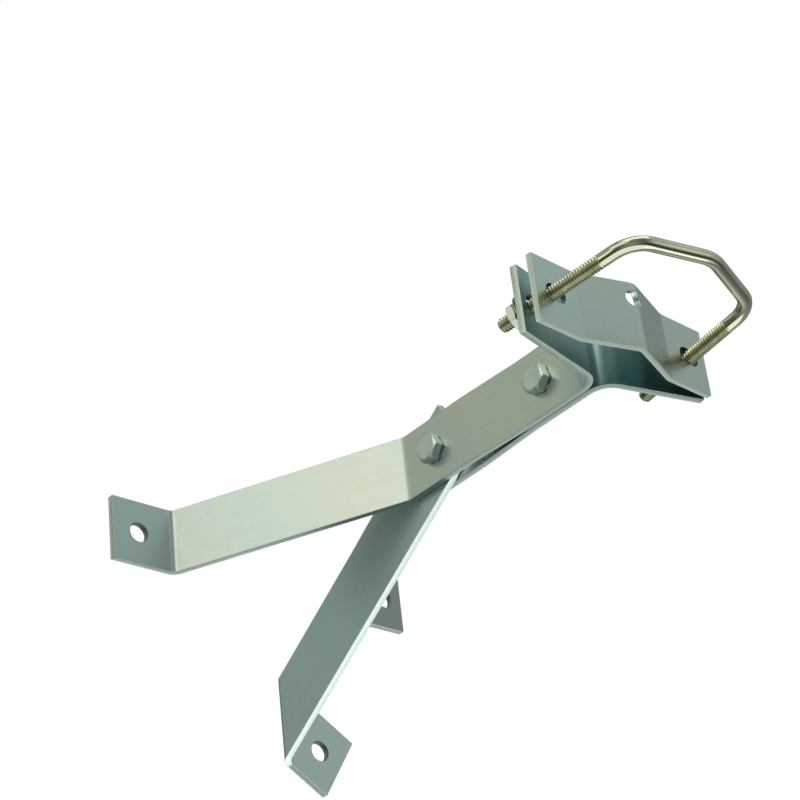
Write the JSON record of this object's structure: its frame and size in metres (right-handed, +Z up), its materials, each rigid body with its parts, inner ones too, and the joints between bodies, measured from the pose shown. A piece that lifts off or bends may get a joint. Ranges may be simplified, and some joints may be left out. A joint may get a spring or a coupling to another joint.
{
  "type": "wall stand-off bracket",
  "caption": "Steel wall bracket: two splayed arms and a folded brace carry a V-bolt and saddle clamp that grips a mast or ladder rail clear of the wall.",
  "frame": {"origin": "on the wall plane, midway between the two stems' inner faces and at the mid height of the arms", "axes": "+Y into the wall, +X along the wall towards the side the brace foot is folded to, +Z up"},
  "size_m": [0.1589, 0.2773, 0.1261],
  "materials": {
    "strip_zinc": "bright zinc plate, cold-rolled surface",
    "fastener_zinc": "bright zinc plate",
    "v_bolt_zinc": "yellowish zinc plate",
    "nut_zinc": "bright zinc plate"
  },
  "bodies": {
    "frame": {"arm_left": "strip_zinc", "arm_right": "strip_zinc"},
    "brace": {"brace_leg": "strip_zinc"},
    "saddle": {"saddle_plate": "strip_zinc"},
    "clamp": {"v_bolt": "v_bolt_zinc"},
    "washer_left": {"nut_washer_left": "nut_zinc"},
    "nut_left": {"clamp_nut_left": "nut_zinc"},
    "washer_right": {"nut_washer_right": "nut_zinc"},
    "nut_right": {"clamp_nut_right": "nut_zinc"},
    "bolt_front": {"stem_bolt_front": "fastener_zinc"},
    "nut_front": {"stem_nut_front": "fastener_zinc"},
    "bolt_rear": {"stem_bolt_rear": "fastener_zinc"},
    "nut_rear": {"stem_nut_rear": "fastener_zinc"}
  },
  "joints": [
    {"name": "brace_swing", "type": "hinge", "parent": "frame", "child": "brace", "pos_m": [0, -0.1206, 0], "axis": [1, 0, 0], "range_deg": [-55, 60]},
    {"name": "saddle_slide", "type": "slide", "parent": "frame", "child": "saddle", "axis": [0.0959, -0.9865, 0.133], "range_m": [0, 0.01]},
    {"name": "v_bolt_slide", "type": "slide", "parent": "frame", "child": "clamp", "axis": [-0.0959, 0.9865, -0.133], "range_m": [-0.004, 0.015]},
    {"name": "washer_left_slide", "type": "slide", "parent": "frame", "child": "washer_left", "axis": [0.974, 0.2243, -0.0302], "range_m": [-0.00041, 0.00153]},
    {"name": "clamp_nut_left_turn", "type": "hinge", "parent": "washer_left", "child": "nut_left", "pos_m": [-0.04297, -0.22015, -0.0008], "axis": [0.1967, -0.9717, 0.131], "range_deg": [-1125, 4217.2]},
    {"name": "washer_right_slide", "type": "slide", "parent": "frame", "child": "washer_right", "axis": [-0.974, 0.2243, -0.0302], "range_m": [-0.00042, 0.00157]},
    {"name": "clamp_nut_right_turn", "type": "hinge", "parent": "washer_right", "child": "nut_right", "pos_m": [0.03811, -0.21903, -0.00095], "axis": [-0.006, -0.991, 0.1336], "range_deg": [-1102.4, 4132.5]},
    {"name": "stem_bolt_front_turn", "type": "hinge", "parent": "frame", "child": "bolt_front", "pos_m": [0, -0.1841, 0], "axis": [-1, 0, 0], "range_deg": [0, 720]},
    {"name": "stem_nut_front_slide", "type": "slide", "parent": "frame", "child": "nut_front", "axis": [1, 0, 0], "range_m": [0, 0.00254]},
    {"name": "stem_bolt_rear_turn", "type": "hinge", "parent": "frame", "child": "bolt_rear", "pos_m": [0, -0.1206, 0], "axis": [-1, 0, 0], "range_deg": [0, 720]},
    {"name": "stem_nut_rear_slide", "type": "slide", "parent": "frame", "child": "nut_rear", "axis": [1, 0, 0], "range_m": [0, 0.00254]}
  ],
  "couplings": [
    {"joint": "clamp_nut_left_turn", "follows": "v_bolt_slide", "rad_per_m": 4906.4},
    {"joint": "clamp_nut_right_turn", "follows": "v_bolt_slide", "rad_per_m": 4807.8},
    {"joint": "washer_left_slide", "follows": "v_bolt_slide", "ratio": 0.10187},
    {"joint": "washer_right_slide", "follows": "v_bolt_slide", "ratio": 0.10439},
    {"joint": "stem_nut_front_slide", "follows": "stem_bolt_front_turn", "m_per_rad": 0.00020213},
    {"joint": "stem_nut_rear_slide", "follows": "stem_bolt_rear_turn", "m_per_rad": 0.00020213}
  ]
}
